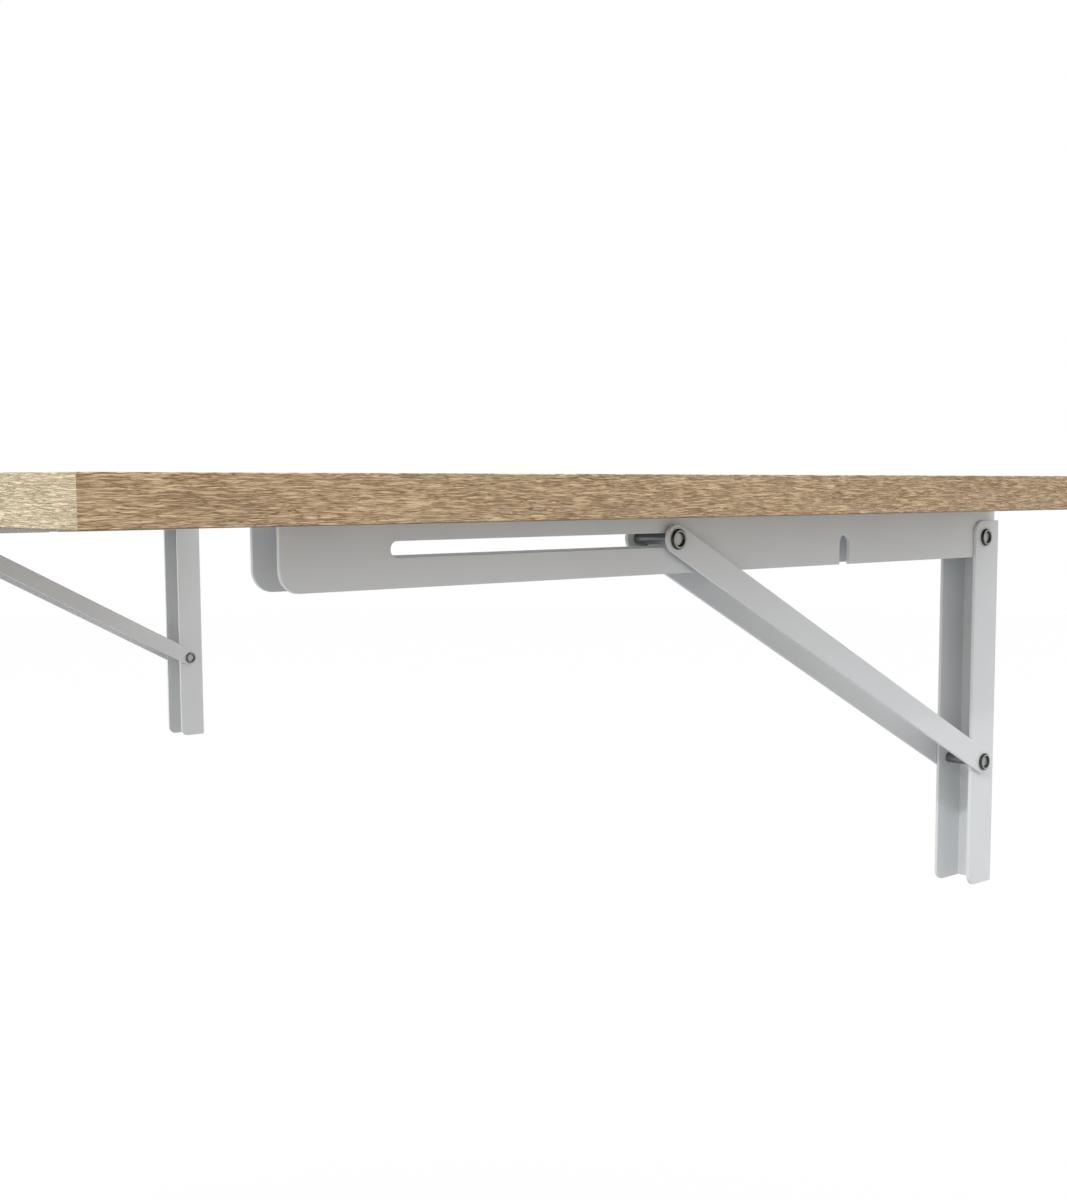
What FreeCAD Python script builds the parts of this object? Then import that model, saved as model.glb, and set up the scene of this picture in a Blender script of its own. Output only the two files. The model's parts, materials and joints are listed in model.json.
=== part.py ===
import FreeCAD, Part
import os
import Sketcher

# Fold-down wall table: an oak-look top on two folding steel brackets, drawn open.
# +X runs along the wall to the right of someone facing it, +Y points into the wall, +Z is up.
# The wall plane is y = 0, and the origin is the middle of the four wall holes.

SIZES = {
    # Tabletop
    "table_width": 1000,
    "table_depth": 610,
    "table_thickness": 18,
    "laminate_thickness": 0.8,
    "edge_band_thickness": 1,
    "edge_round": 0.5,
    "wall_gap": 5,
    # Brackets on the wall
    "bracket_inset": 74.5,
    "sheet_thickness": 1.8,
    "bend_round": 2.1,
    "edge_break": 0.3,
    "channel_height": 211.7,
    "channel_depth": 24.1,
    "channel_drop": 7.1,
    "channel_corner_round": 6.5,
    "hole_spacing": 150,
    "upper_hole_drop": 42.3,
    "wall_hole_diameter": 5.5,
    # Pivots of each bracket, measured from the wall and from the underside of the top
    "pivot_reach": 14.7,
    "arm_pivot_drop": 16.6,
    "strut_pivot_drop": 146.4,
    # Arm under the tabletop
    "arm_length": 494.7,
    "arm_width": 19.7,
    "arm_height": 27.8,
    "arm_rear_gap": 2.5,
    "arm_corner_round": 9,
    "slot_drop": 12,
    "slot_height": 6.6,
    "slot_rear_room": 1.6,
    "seat_rise": 1.2,
    "notch_width": 8.3,
    "notch_shift": 0.3,
    # Strut of two flat bars
    "strut_reach": 263.4,
    "bar_width": 13.8,
    "bar_thickness": 1.8,
    # Rivets and spacer sleeves
    "shank_diameter": 4.2,
    "sleeve_diameter": 5.8,
    "slider_sleeve_diameter": 5.4,
    "head_diameter": 9.8,
    "head_thickness": 1.7,
    "head_round": 0.6,
    "dish_diameter": 5.7,
    "dish_depth": 0.9,
    # Screws that hold the arm to the tabletop
    "screw_diameter": 4,
    "screw_length": 15,
    "screw_tip_length": 3,
    "screw_head_diameter": 8,
    "screw_head_thickness": 2.4,
    "screw_head_round": 0.9,
    "cross_width": 1.1,
    "cross_span": 4.4,
    "cross_depth": 1.3,
    "first_screw_reach": 42,
    "last_screw_margin": 47.6,
    # Clearances and the overrun of every cut
    "side_gap": 0.2,
    "slide_gap": 0.2,
    "running_gap": 0.05,
    "overrun": 5,
}

SCREWS_PER_ARM = 5

# A sketch's names for its own origin and for the ends and centre of a line or arc
SKETCH_ORIGIN = (-1, 1)
START, END, CENTRE = 1, 2, 3

# Two places nearer than this count as the same place
MATCH_TOLERANCE = 1e-4

# Places worked out from the sizes, as expressions
BRACKET_SPACING = "(Sizes.table_width - 2 * Sizes.bracket_inset)"
CHANNEL_TOP = "(Sizes.hole_spacing / 2 + Sizes.upper_hole_drop)"
CHANNEL_BOTTOM = f"({CHANNEL_TOP} - Sizes.channel_height)"
UNDERSIDE = f"({CHANNEL_TOP} + Sizes.channel_drop)"
ARM_PIVOT_HEIGHT = f"({UNDERSIDE} - Sizes.arm_pivot_drop)"
STRUT_PIVOT_HEIGHT = f"({UNDERSIDE} - Sizes.strut_pivot_drop)"
SLOT_HEIGHT_CENTRE = f"({UNDERSIDE} - Sizes.slot_drop)"
CHANNEL_WIDTH = "(Sizes.arm_width + 2 * Sizes.side_gap + 2 * Sizes.sheet_thickness)"
CHANNEL_INSIDE = "(Sizes.arm_width + 2 * Sizes.side_gap)"
ARM_INSIDE = "(Sizes.arm_width - 2 * Sizes.sheet_thickness)"
BAR_INNER_FACE = f"({CHANNEL_WIDTH} / 2 + Sizes.side_gap)"
BAR_OUTER_FACE = f"({BAR_INNER_FACE} + Sizes.bar_thickness)"
ARM_REAR = "(-Sizes.arm_rear_gap)"
ARM_FRONT = f"({ARM_REAR} - Sizes.arm_length)"
BOARD_FRONT = "(-Sizes.wall_gap - Sizes.table_depth)"
SCREW_RUN = f"(-{ARM_FRONT} - Sizes.last_screw_margin - Sizes.first_screw_reach)"
SCREW_STEP = f"({SCREW_RUN} / {SCREWS_PER_ARM - 1})"

# The slider pin rides just under the upper edge of the slot
PIN_RISE = "(Sizes.slot_height / 2 - Sizes.slider_sleeve_diameter / 2 - Sizes.slide_gap)"
PIN_HEIGHT = f"({SLOT_HEIGHT_CENTRE} + {PIN_RISE})"
PIN_ABOVE_ARM_PIVOT = "(Sizes.arm_pivot_drop - Sizes.slot_drop + " + PIN_RISE + ")"
PIVOT_SPAN = "(Sizes.strut_pivot_drop - Sizes.arm_pivot_drop)"
PIN_ABOVE_STRUT_PIVOT = f"({PIVOT_SPAN} + {PIN_ABOVE_ARM_PIVOT})"
STRUT_LENGTH = f"sqrt(Sizes.strut_reach^2 + {PIN_ABOVE_STRUT_PIVOT}^2)"
STRUT_ANGLE = f"atan2({PIN_ABOVE_STRUT_PIVOT}; Sizes.strut_reach)"
FOLDED_REACH = f"({PIVOT_SPAN} + sqrt({STRUT_LENGTH}^2 - {PIN_ABOVE_ARM_PIVOT}^2))"
SLOT_REAR = "(-Sizes.pivot_reach - Sizes.strut_reach + Sizes.slot_rear_room)"
SLOT_FRONT = f"(-Sizes.pivot_reach - {FOLDED_REACH} - Sizes.slide_gap)"

doc = FreeCAD.newDocument("fold_down_wall_table")
nodes = []


def make_sheet():
    """Write the driving dimensions into a spreadsheet, one alias for each."""
    sheet = doc.addObject("Spreadsheet::Sheet", "Sizes")
    for row, (alias, value) in enumerate(SIZES.items(), start=1):
        sheet.set(f"A{row}", alias)
        sheet.set(f"B{row}", str(value))
        sheet.setAlias(f"B{row}", alias)
    doc.recompute()
    return sheet


def value_of(expression):
    """Give the number that an expression stands for."""
    result = sheet.evalExpression(expression)
    return float(getattr(result, "Value", result))


def new_body(name):
    """Start a body whose shape becomes the node of the same name."""
    body = doc.addObject("PartDesign::Body", name)
    body.Label = name
    return body


def origin_feature(body, role):
    """Find one of the body's own origin planes or axes."""
    for feature in body.Origin.OriginFeatures:
        if feature.Role == role:
            return feature
    raise RuntimeError(f"{body.Label} has no {role}")


def new_sketch(body, name, plane, offset="0"):
    """Put an empty sketch on an origin plane, moved along the plane's normal."""
    sketch = body.newObject("Sketcher::SketchObject", name)
    sketch.AttachmentSupport = [(origin_feature(body, plane), "")]
    sketch.MapMode = "FlatFace"
    sketch.setExpression("AttachmentOffset.Base.z", offset)
    return sketch


def bind(sketch, kind, name, *where, expression):
    """Add one driving constraint whose value follows an expression."""
    index = sketch.addConstraint(Sketcher.Constraint(kind, *where, value_of(expression)))
    sketch.renameConstraint(index, name)
    sketch.setExpression(f"Constraints.{name}", expression)


def draw_polygon(sketch, corners):
    """Close straight lines through corners given as pairs of expressions."""
    first = sketch.GeometryCount
    places = [FreeCAD.Vector(value_of(across), value_of(along), 0) for across, along in corners]
    count = len(corners)
    for index, place in enumerate(places):
        sketch.addGeometry(Part.LineSegment(place, places[(index + 1) % count]), False)
    for index, (across, along) in enumerate(corners):
        line = first + index
        following = first + (index + 1) % count
        sketch.addConstraint(Sketcher.Constraint("Coincident", line, END, following, START))
        bind(sketch, "DistanceX", f"across_{line}", *SKETCH_ORIGIN, line, START, expression=across)
        bind(sketch, "DistanceY", f"along_{line}", *SKETCH_ORIGIN, line, START, expression=along)


def draw_rectangle(sketch, left, right, low, high):
    """Draw an upright rectangle between four expressions."""
    draw_polygon(sketch, [(left, low), (right, low), (right, high), (left, high)])


def draw_circle(sketch, across, along, diameter):
    """Draw a circle centred on a pair of expressions."""
    centre = FreeCAD.Vector(value_of(across), value_of(along), 0)
    normal = FreeCAD.Vector(0, 0, 1)
    circle = sketch.addGeometry(Part.Circle(centre, normal, value_of(diameter) / 2), False)
    bind(sketch, "Diameter", f"diameter_{circle}", circle, expression=diameter)
    bind(sketch, "DistanceX", f"across_{circle}", *SKETCH_ORIGIN, circle, CENTRE, expression=across)
    bind(sketch, "DistanceY", f"along_{circle}", *SKETCH_ORIGIN, circle, CENTRE, expression=along)


def draw_slot(sketch, start, end, width):
    """Draw a round-ended slot between two centres, where start has the lower coordinate."""
    first = sketch.GeometryCount
    begin = FreeCAD.Vector(value_of(start[0]), value_of(start[1]), 0)
    finish = FreeCAD.Vector(value_of(end[0]), value_of(end[1]), 0)
    radius = value_of(width) / 2
    normal = FreeCAD.Vector(0, 0, 1)
    run = (finish - begin).normalize()
    side = normal.cross(run) * radius
    for centre, out in ((begin, -run), (finish, run)):
        turn = out.cross(side).z < 0
        ends = (centre + side, centre - side) if turn else (centre - side, centre + side)
        arc = Part.Arc(ends[1], centre + out * radius, ends[0])
        sketch.addGeometry(arc, False)
    sketch.addGeometry(Part.LineSegment(begin + side, finish + side), False)
    sketch.addGeometry(Part.LineSegment(begin - side, finish - side), False)
    for line, offset in ((first + 2, side), (first + 3, -side)):
        for point, arc, centre in ((START, first, begin), (END, first + 1, finish)):
            arc_point = nearest_end(sketch, arc, centre + offset)
            sketch.addConstraint(Sketcher.Constraint("Tangent", line, point, arc, arc_point))
    sketch.addConstraint(Sketcher.Constraint("Equal", first, first + 1))
    bind(sketch, "Radius", f"radius_{first}", first, expression=f"{width} / 2")
    for arc, centre in ((first, start), (first + 1, end)):
        bind(sketch, "DistanceX", f"across_{arc}", *SKETCH_ORIGIN, arc, CENTRE, expression=centre[0])
        bind(sketch, "DistanceY", f"along_{arc}", *SKETCH_ORIGIN, arc, CENTRE, expression=centre[1])


def nearest_end(sketch, arc, place):
    """Say which end of an arc lies nearer to a place."""
    return min((START, END), key=lambda end: sketch.getPoint(arc, end).distanceToPoint(place))


def pad(body, sketch, length, symmetric=False):
    """Raise a sketch along its plane's normal."""
    feature = body.newObject("PartDesign::Pad", f"{sketch.Name}_pad")
    feature.Profile = sketch
    feature.SideType = "Symmetric" if symmetric else "One side"
    feature.setExpression("Length", length)
    doc.recompute()
    return feature


def check_cut(body, before, name):
    """Stop when a cut took nothing away."""
    if not body.Shape.Volume < before:
        raise RuntimeError(f"{name} cut nothing")


def cut_through(body, sketch):
    """Cut a sketch through the whole body, both ways from its plane."""
    before = body.Shape.Volume
    feature = body.newObject("PartDesign::Pocket", f"{sketch.Name}_cut")
    feature.Profile = sketch
    feature.Type = "ThroughAll"
    feature.SideType = "Symmetric"
    doc.recompute()
    check_cut(body, before, feature.Name)
    return feature


def cut_depth(body, sketch, depth, along_normal):
    """Cut a sketch to a depth, along its plane's normal or against it."""
    before = body.Shape.Volume
    feature = body.newObject("PartDesign::Pocket", f"{sketch.Name}_cut")
    feature.Profile = sketch
    feature.SideType = "One side"
    feature.Reversed = along_normal
    feature.setExpression("Length", depth)
    doc.recompute()
    check_cut(body, before, feature.Name)
    return feature


def round_edges(body, name, radius, chosen):
    """Round every edge for which chosen(edge) holds."""
    base = body.Tip
    names = [f"Edge{number}" for number, edge in enumerate(base.Shape.Edges, start=1) if chosen(edge)]
    if not names:
        raise RuntimeError(f"{name} found no edge")
    feature = body.newObject("PartDesign::Fillet", name)
    feature.Base = (base, names)
    feature.setExpression("Radius", radius)
    doc.recompute()
    return feature


def bounds_faces(places):
    """Test for edges that bound the flat faces square to X at the given places."""

    def chosen(edge):
        if any(abs(vertex.X - edge.Vertexes[0].X) > MATCH_TOLERANCE for vertex in edge.Vertexes):
            return False
        middle = edge.valueAt((edge.FirstParameter + edge.LastParameter) / 2)
        start = edge.Vertexes[0].Point
        if abs(middle.x - start.x) > MATCH_TOLERANCE:
            return False
        return min(abs(start.x - place) for place in places) < MATCH_TOLERANCE

    return chosen


def lies_along(axis, **places):
    """Test for straight edges along an axis that pass through places such as y=3, z=4."""

    def chosen(edge):
        if len(edge.Vertexes) < 2:
            return False
        start, end = (vertex.Point for vertex in edge.Vertexes)
        run = end - start
        moved = {letter for letter in "xyz" if abs(getattr(run, letter)) > MATCH_TOLERANCE}
        if moved != {axis}:
            return False
        return all(
            min(abs(getattr(start, letter) - place) for place in wanted) < MATCH_TOLERANCE
            for letter, wanted in places.items()
        )

    return chosen


def place_body(body, across, along="0", height="0"):
    """Bind a body's placement to expressions."""
    body.setExpression("Placement.Base.x", across)
    body.setExpression("Placement.Base.y", along)
    body.setExpression("Placement.Base.z", height)


def finish_node(shape_object):
    """Note an object as one of the model's nodes."""
    nodes.append(shape_object)
    return shape_object


def board_slab(name, left, right, front, rear, low, high):
    """Make one flat board between six expressions."""
    body = new_body(name)
    sketch = new_sketch(body, f"{name}_outline", "XY_Plane", low)
    draw_rectangle(sketch, left, right, front, rear)
    pad(body, sketch, f"{high} - {low}")
    return body


def screw_places():
    """Give the places of the screws along one arm, as expressions in y."""
    return [
        f"(-Sizes.first_screw_reach - {number} * {SCREW_STEP})"
        for number in range(SCREWS_PER_ARM)
    ]


def drill_pilot_holes(body, name, low, depth):
    """Drill the pilot holes of both arms' screws upwards from a height."""
    sketch = new_sketch(body, f"{name}_pilots", "XY_Plane", low)
    for side_share in (-0.5, 0.5):
        for along in screw_places():
            across = f"{side_share} * {BRACKET_SPACING}"
            draw_circle(sketch, across, along, "Sizes.screw_diameter + 2 * Sizes.running_gap")
    cut_depth(body, sketch, depth, along_normal=True)


def make_tabletop():
    """Make the core board, its two laminates and its four edge bands."""
    side = "Sizes.table_width / 2"
    inner_side = f"({side} - Sizes.edge_band_thickness)"
    inner_front = f"({BOARD_FRONT} + Sizes.edge_band_thickness)"
    rear = "(-Sizes.wall_gap)"
    inner_rear = f"({rear} - Sizes.edge_band_thickness)"
    top = f"({UNDERSIDE} + Sizes.table_thickness)"
    core_low = f"({UNDERSIDE} + Sizes.laminate_thickness)"
    core_high = f"({top} - Sizes.laminate_thickness)"
    inside = (f"-{inner_side}", inner_side, inner_front, inner_rear)

    core = board_slab("tabletop_core_board", *inside, core_low, core_high)
    tip_length = "(Sizes.screw_length - Sizes.sheet_thickness - Sizes.laminate_thickness)"
    drill_pilot_holes(core, "core", core_low, f"{tip_length} + Sizes.slide_gap")
    finish_node(core)

    lower = board_slab("tabletop_bottom_laminate", *inside, UNDERSIDE, core_low)
    drill_pilot_holes(lower, "lower", UNDERSIDE, "Sizes.laminate_thickness + Sizes.overrun")
    finish_node(lower)
    finish_node(board_slab("tabletop_top_laminate", *inside, core_high, top))

    heights = (value_of(UNDERSIDE), value_of(top))
    bands = {
        "front_edge_band": (f"-{side}", side, BOARD_FRONT, inner_front),
        "rear_edge_band": (f"-{side}", side, inner_rear, rear),
        "left_edge_band": (f"-{side}", f"-{inner_side}", inner_front, inner_rear),
        "right_edge_band": (inner_side, side, inner_front, inner_rear),
    }
    outer_faces = {
        "front_edge_band": ("x", "y", BOARD_FRONT),
        "rear_edge_band": ("x", "y", rear),
        "left_edge_band": ("y", "x", f"-{side}"),
        "right_edge_band": ("y", "x", side),
    }
    for name, limits in bands.items():
        band = board_slab(name, *limits, UNDERSIDE, top)
        axis, letter, face = outer_faces[name]
        long_edges = lies_along(axis, **{letter: [value_of(face)], "z": heights})
        round_edges(band, f"{name}_rounding", "Sizes.edge_round", long_edges)
        finish_node(band)


def make_wall_channel(name, across):
    """Make a U channel with its web on the wall and its flanges to the front."""
    body = new_body(name)
    half = f"({CHANNEL_WIDTH} / 2)"
    inner = f"({CHANNEL_INSIDE} / 2)"
    front = "(-Sizes.channel_depth)"
    web = "(-Sizes.sheet_thickness)"
    profile = new_sketch(body, f"{name}_profile", "XY_Plane", CHANNEL_BOTTOM)
    draw_polygon(profile, [
        (f"-{half}", "0"), (f"-{half}", front), (f"-{inner}", front), (f"-{inner}", web),
        (inner, web), (inner, front), (half, front), (half, "0"),
    ])
    pad(body, profile, "Sizes.channel_height")
    half_width = value_of(half)
    inner_width = value_of(inner)
    outer_bends = lies_along("z", x=(-half_width, half_width), y=[0])
    round_edges(body, f"{name}_outer_bends", "Sizes.bend_round", outer_bends)
    inner_bends = lies_along("z", x=(-inner_width, inner_width), y=[value_of(web)])
    round_edges(body, f"{name}_inner_bends", "Sizes.bend_round - Sizes.sheet_thickness", inner_bends)
    ends = (value_of(CHANNEL_TOP), value_of(CHANNEL_BOTTOM))
    corners = lies_along("x", y=[value_of(front)], z=ends)
    round_edges(body, f"{name}_corners", "Sizes.channel_corner_round", corners)

    pivots = new_sketch(body, f"{name}_pivots", "YZ_Plane")
    for height in (ARM_PIVOT_HEIGHT, STRUT_PIVOT_HEIGHT):
        draw_circle(pivots, "-Sizes.pivot_reach", height, "Sizes.shank_diameter + 2 * Sizes.running_gap")
    cut_through(body, pivots)
    screws = new_sketch(body, f"{name}_wall_holes", "XZ_Plane")
    for height in ("Sizes.hole_spacing / 2", "-Sizes.hole_spacing / 2"):
        draw_circle(screws, "0", height, "Sizes.wall_hole_diameter")
    cut_through(body, screws)
    faces = (-half_width, half_width)
    round_edges(body, f"{name}_edge_break", "Sizes.edge_break", bounds_faces(faces))
    place_body(body, across)
    return finish_node(body)


def make_arm_channel(name, across):
    """Make an inverted U channel with its slot, seat, notch and holes."""
    body = new_body(name)
    half = "(Sizes.arm_width / 2)"
    inner = f"({ARM_INSIDE} / 2)"
    bottom = f"({UNDERSIDE} - Sizes.arm_height)"
    web = f"({UNDERSIDE} - Sizes.sheet_thickness)"
    profile = new_sketch(body, f"{name}_profile", "XZ_Plane", "Sizes.arm_rear_gap")
    draw_polygon(profile, [
        (f"-{half}", bottom), (f"-{inner}", bottom), (f"-{inner}", web), (inner, web),
        (inner, bottom), (half, bottom), (half, UNDERSIDE), (f"-{half}", UNDERSIDE),
    ])
    pad(body, profile, "Sizes.arm_length")
    half_width = value_of(half)
    inner_width = value_of(inner)
    outer_bends = lies_along("y", x=(-half_width, half_width), z=[value_of(UNDERSIDE)])
    round_edges(body, f"{name}_outer_bends", "Sizes.bend_round", outer_bends)
    inner_bends = lies_along("y", x=(-inner_width, inner_width), z=[value_of(web)])
    round_edges(body, f"{name}_inner_bends", "Sizes.bend_round - Sizes.sheet_thickness", inner_bends)
    front_corners = lies_along("x", y=[value_of(ARM_FRONT)], z=[value_of(bottom)])
    round_edges(body, f"{name}_front_corners", "Sizes.arm_corner_round", front_corners)
    # The rear corners sweep past the wall channel's web when the arm folds down
    rear_corners = lies_along("x", y=[value_of(ARM_REAR)], z=[value_of(bottom)])
    rear_round = "Sizes.arm_height - Sizes.arm_pivot_drop - Sizes.side_gap"
    round_edges(body, f"{name}_rear_corners", rear_round, rear_corners)

    pivot = new_sketch(body, f"{name}_pivot", "YZ_Plane")
    pivot_bore = "Sizes.shank_diameter + 2 * Sizes.running_gap"
    draw_circle(pivot, "-Sizes.pivot_reach", ARM_PIVOT_HEIGHT, pivot_bore)
    cut_through(body, pivot)
    slot = new_sketch(body, f"{name}_slot", "YZ_Plane")
    slot_ends = ((SLOT_FRONT, SLOT_HEIGHT_CENTRE), (SLOT_REAR, SLOT_HEIGHT_CENTRE))
    draw_slot(slot, *slot_ends, "Sizes.slot_height")
    cut_through(body, slot)
    # The pin locks in a seat above the slot's rear end
    seat = new_sketch(body, f"{name}_seat", "YZ_Plane")
    pin_place = "(-Sizes.pivot_reach - Sizes.strut_reach)"
    seat_top = f"({PIN_HEIGHT} + Sizes.seat_rise)"
    seat_width = "(Sizes.slider_sleeve_diameter + 2 * Sizes.slide_gap)"
    draw_slot(seat, (pin_place, PIN_HEIGHT), (pin_place, seat_top), seat_width)
    cut_through(body, seat)
    # The lower pivot's sleeve enters this notch when the arm hangs down
    notch = new_sketch(body, f"{name}_notch", "YZ_Plane")
    notch_place = f"(-Sizes.pivot_reach - {PIVOT_SPAN} - Sizes.notch_shift)"
    below = f"({bottom} - Sizes.notch_width - Sizes.overrun)"
    draw_slot(notch, (notch_place, below), (notch_place, ARM_PIVOT_HEIGHT), "Sizes.notch_width")
    cut_through(body, notch)
    screws = new_sketch(body, f"{name}_screw_holes", "XY_Plane")
    for along in screw_places():
        draw_circle(screws, "0", along, "Sizes.screw_diameter + 2 * Sizes.running_gap")
    cut_through(body, screws)
    faces = (-half_width, half_width)
    round_edges(body, f"{name}_edge_break", "Sizes.edge_break", bounds_faces(faces))
    place_body(body, across)
    return finish_node(body)


def make_strut_bar(name, across, inner_face):
    """Make one flat bar of the strut, from the lower pivot up to the slider pin."""
    body = new_body(name)
    outline = new_sketch(body, f"{name}_outline", "YZ_Plane")
    draw_slot(outline, (f"-{STRUT_LENGTH}", "0"), ("0", "0"), "Sizes.bar_width")
    pad(body, outline, "Sizes.bar_thickness")
    holes = new_sketch(body, f"{name}_holes", "YZ_Plane")
    for along in ("0", f"-{STRUT_LENGTH}"):
        draw_circle(holes, along, "0", "Sizes.shank_diameter + 2 * Sizes.running_gap")
    cut_through(body, holes)
    faces = (0, value_of("Sizes.bar_thickness"))
    round_edges(body, f"{name}_edge_break", "Sizes.edge_break", bounds_faces(faces))
    body.Placement.Rotation = FreeCAD.Rotation(FreeCAD.Vector(1, 0, 0), -value_of(STRUT_ANGLE))
    body.setExpression("Placement.Rotation.Angle", f"-1 * {STRUT_ANGLE}")
    place_body(body, f"{across} + {inner_face}", "-Sizes.pivot_reach", STRUT_PIVOT_HEIGHT)
    return finish_node(body)


def head_outline(face, outward):
    """Give a dished rivet head's corners from the shank to its middle, as (x, radius)."""
    sign = "+" if outward > 0 else "-"
    outer = f"({face} {sign} Sizes.head_thickness)"
    floor = f"({face} {sign} (Sizes.head_thickness - Sizes.dish_depth))"
    return [
        (face, "Sizes.shank_diameter / 2"), (face, "Sizes.head_diameter / 2"),
        (outer, "Sizes.head_diameter / 2"), (outer, "Sizes.dish_diameter / 2"),
        (floor, "Sizes.dish_diameter / 2"), (floor, "0"),
    ]


def revolve(body, name, corners):
    """Turn a half outline, given as (x, radius), about the X axis."""
    sketch = new_sketch(body, f"{name}_outline", "XY_Plane")
    draw_polygon(sketch, corners)
    feature = body.newObject("PartDesign::Revolution", f"{name}_turned")
    feature.Profile = sketch
    feature.ReferenceAxis = (origin_feature(body, "X_Axis"), [""])
    feature.Angle = 360
    doc.recompute()
    return feature


def is_head_rim(faces):
    """Test for the circles at the outer rim of rivet heads."""
    radius = value_of("Sizes.head_diameter / 2")
    outer_places = [value_of(face) for face in faces]

    def chosen(edge):
        curve = edge.Curve
        if not isinstance(curve, Part.Circle) or abs(curve.Radius - radius) > MATCH_TOLERANCE:
            return False
        return min(abs(curve.Center.x - place) for place in outer_places) < MATCH_TOLERANCE

    return chosen


def make_rivet(name, across, height, half_grip):
    """Make a rivet with two dished heads, whose grip reaches half_grip each side."""
    body = new_body(name)
    left = head_outline(f"(-1 * {half_grip})", -1)
    right = head_outline(half_grip, 1)
    revolve(body, name, list(reversed(left)) + right)
    rims = (f"({half_grip} + Sizes.head_thickness)", f"-1 * ({half_grip} + Sizes.head_thickness)")
    round_edges(body, f"{name}_rims", "Sizes.head_round", is_head_rim(rims))
    place_body(body, across, "-Sizes.pivot_reach", height)
    return finish_node(body)


def make_rivet_end(name, across, inner_face, outward):
    """Make the end of the slider pin that is riveted over one strut bar."""
    body = new_body(name)
    thickness = "Sizes.bar_thickness" if outward > 0 else "(-1 * Sizes.bar_thickness)"
    corners = [("0", "0"), ("0", "Sizes.shank_diameter / 2")] + head_outline(thickness, outward)
    revolve(body, name, corners)
    sign = "+" if outward > 0 else "-"
    rim = is_head_rim([f"{thickness} {sign} Sizes.head_thickness"])
    round_edges(body, f"{name}_rim", "Sizes.head_round", rim)
    along = "(-Sizes.pivot_reach - Sizes.strut_reach)"
    place_body(body, f"{across} + {inner_face}", along, PIN_HEIGHT)
    return finish_node(body)


def make_sleeve(name, place, length, diameter):
    """Make a spacer sleeve that goes round a rivet's shank."""
    body = new_body(name)
    ring = new_sketch(body, f"{name}_ring", "YZ_Plane")
    draw_circle(ring, "0", "0", diameter)
    draw_circle(ring, "0", "0", "Sizes.shank_diameter + 2 * Sizes.running_gap")
    pad(body, ring, length, symmetric=True)
    place_body(body, *place)
    return finish_node(body)


def make_slider_pin(name, across, length):
    """Make the shank that crosses the arm inside the slider's sleeve."""
    body = new_body(name)
    disc = new_sketch(body, f"{name}_disc", "YZ_Plane")
    draw_circle(disc, "0", "0", "Sizes.shank_diameter")
    pad(body, disc, length, symmetric=True)
    place_body(body, across, "(-Sizes.pivot_reach - Sizes.strut_reach)", PIN_HEIGHT)
    return finish_node(body)


def make_single_screw():
    """Make one pan-head screw on the X axis, its head's seat at x = 0 and its tip at +x."""
    name = "arm_screw"
    body = new_body(name)
    head = "(-1 * Sizes.screw_head_thickness)"
    head_radius = "Sizes.screw_head_diameter / 2"
    shank_radius = "Sizes.screw_diameter / 2"
    shank_end = "(Sizes.screw_length - Sizes.screw_tip_length)"
    revolve(body, name, [
        (head, "0"), (head, head_radius), ("0", head_radius),
        ("0", shank_radius), (shank_end, shank_radius), ("Sizes.screw_length", "0"),
    ])
    rim_place = value_of(head)
    rim_radius = value_of(head_radius)

    def is_rim(edge):
        curve = edge.Curve
        on_place = isinstance(curve, Part.Circle) and abs(curve.Center.x - rim_place) < MATCH_TOLERANCE
        return on_place and abs(curve.Radius - rim_radius) < MATCH_TOLERANCE

    round_edges(body, f"{name}_rim", "Sizes.screw_head_round", is_rim)
    cross = new_sketch(body, f"{name}_cross", "YZ_Plane", head)
    arm = "(Sizes.cross_span / 2)"
    core = "(Sizes.cross_width / 2)"
    draw_polygon(cross, [
        (core, core), (arm, core), (arm, f"-{core}"), (core, f"-{core}"),
        (core, f"-{arm}"), (f"-{core}", f"-{arm}"), (f"-{core}", f"-{core}"), (f"-{arm}", f"-{core}"),
        (f"-{arm}", core), (f"-{core}", core), (f"-{core}", arm), (core, arm),
    ])
    cut_depth(body, cross, "Sizes.cross_depth", along_normal=True)
    return body


def make_arm_screws(name, across, screw):
    """Make the group of screws that holds one arm up to the tabletop."""
    upright = FreeCAD.Rotation(FreeCAD.Vector(0, 1, 0), -90)
    height = value_of(f"{UNDERSIDE} - Sizes.sheet_thickness")
    copies = []
    for along in screw_places():
        copy = screw.Shape.copy()
        copy.Placement = FreeCAD.Placement(FreeCAD.Vector(0, value_of(along), height), upright)
        copies.append(copy)
    group = doc.addObject("Part::Feature", name)
    group.Label = name
    group.Shape = Part.makeCompound(copies)
    group.setExpression("Placement.Base.x", across)
    return finish_node(group)


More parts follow.
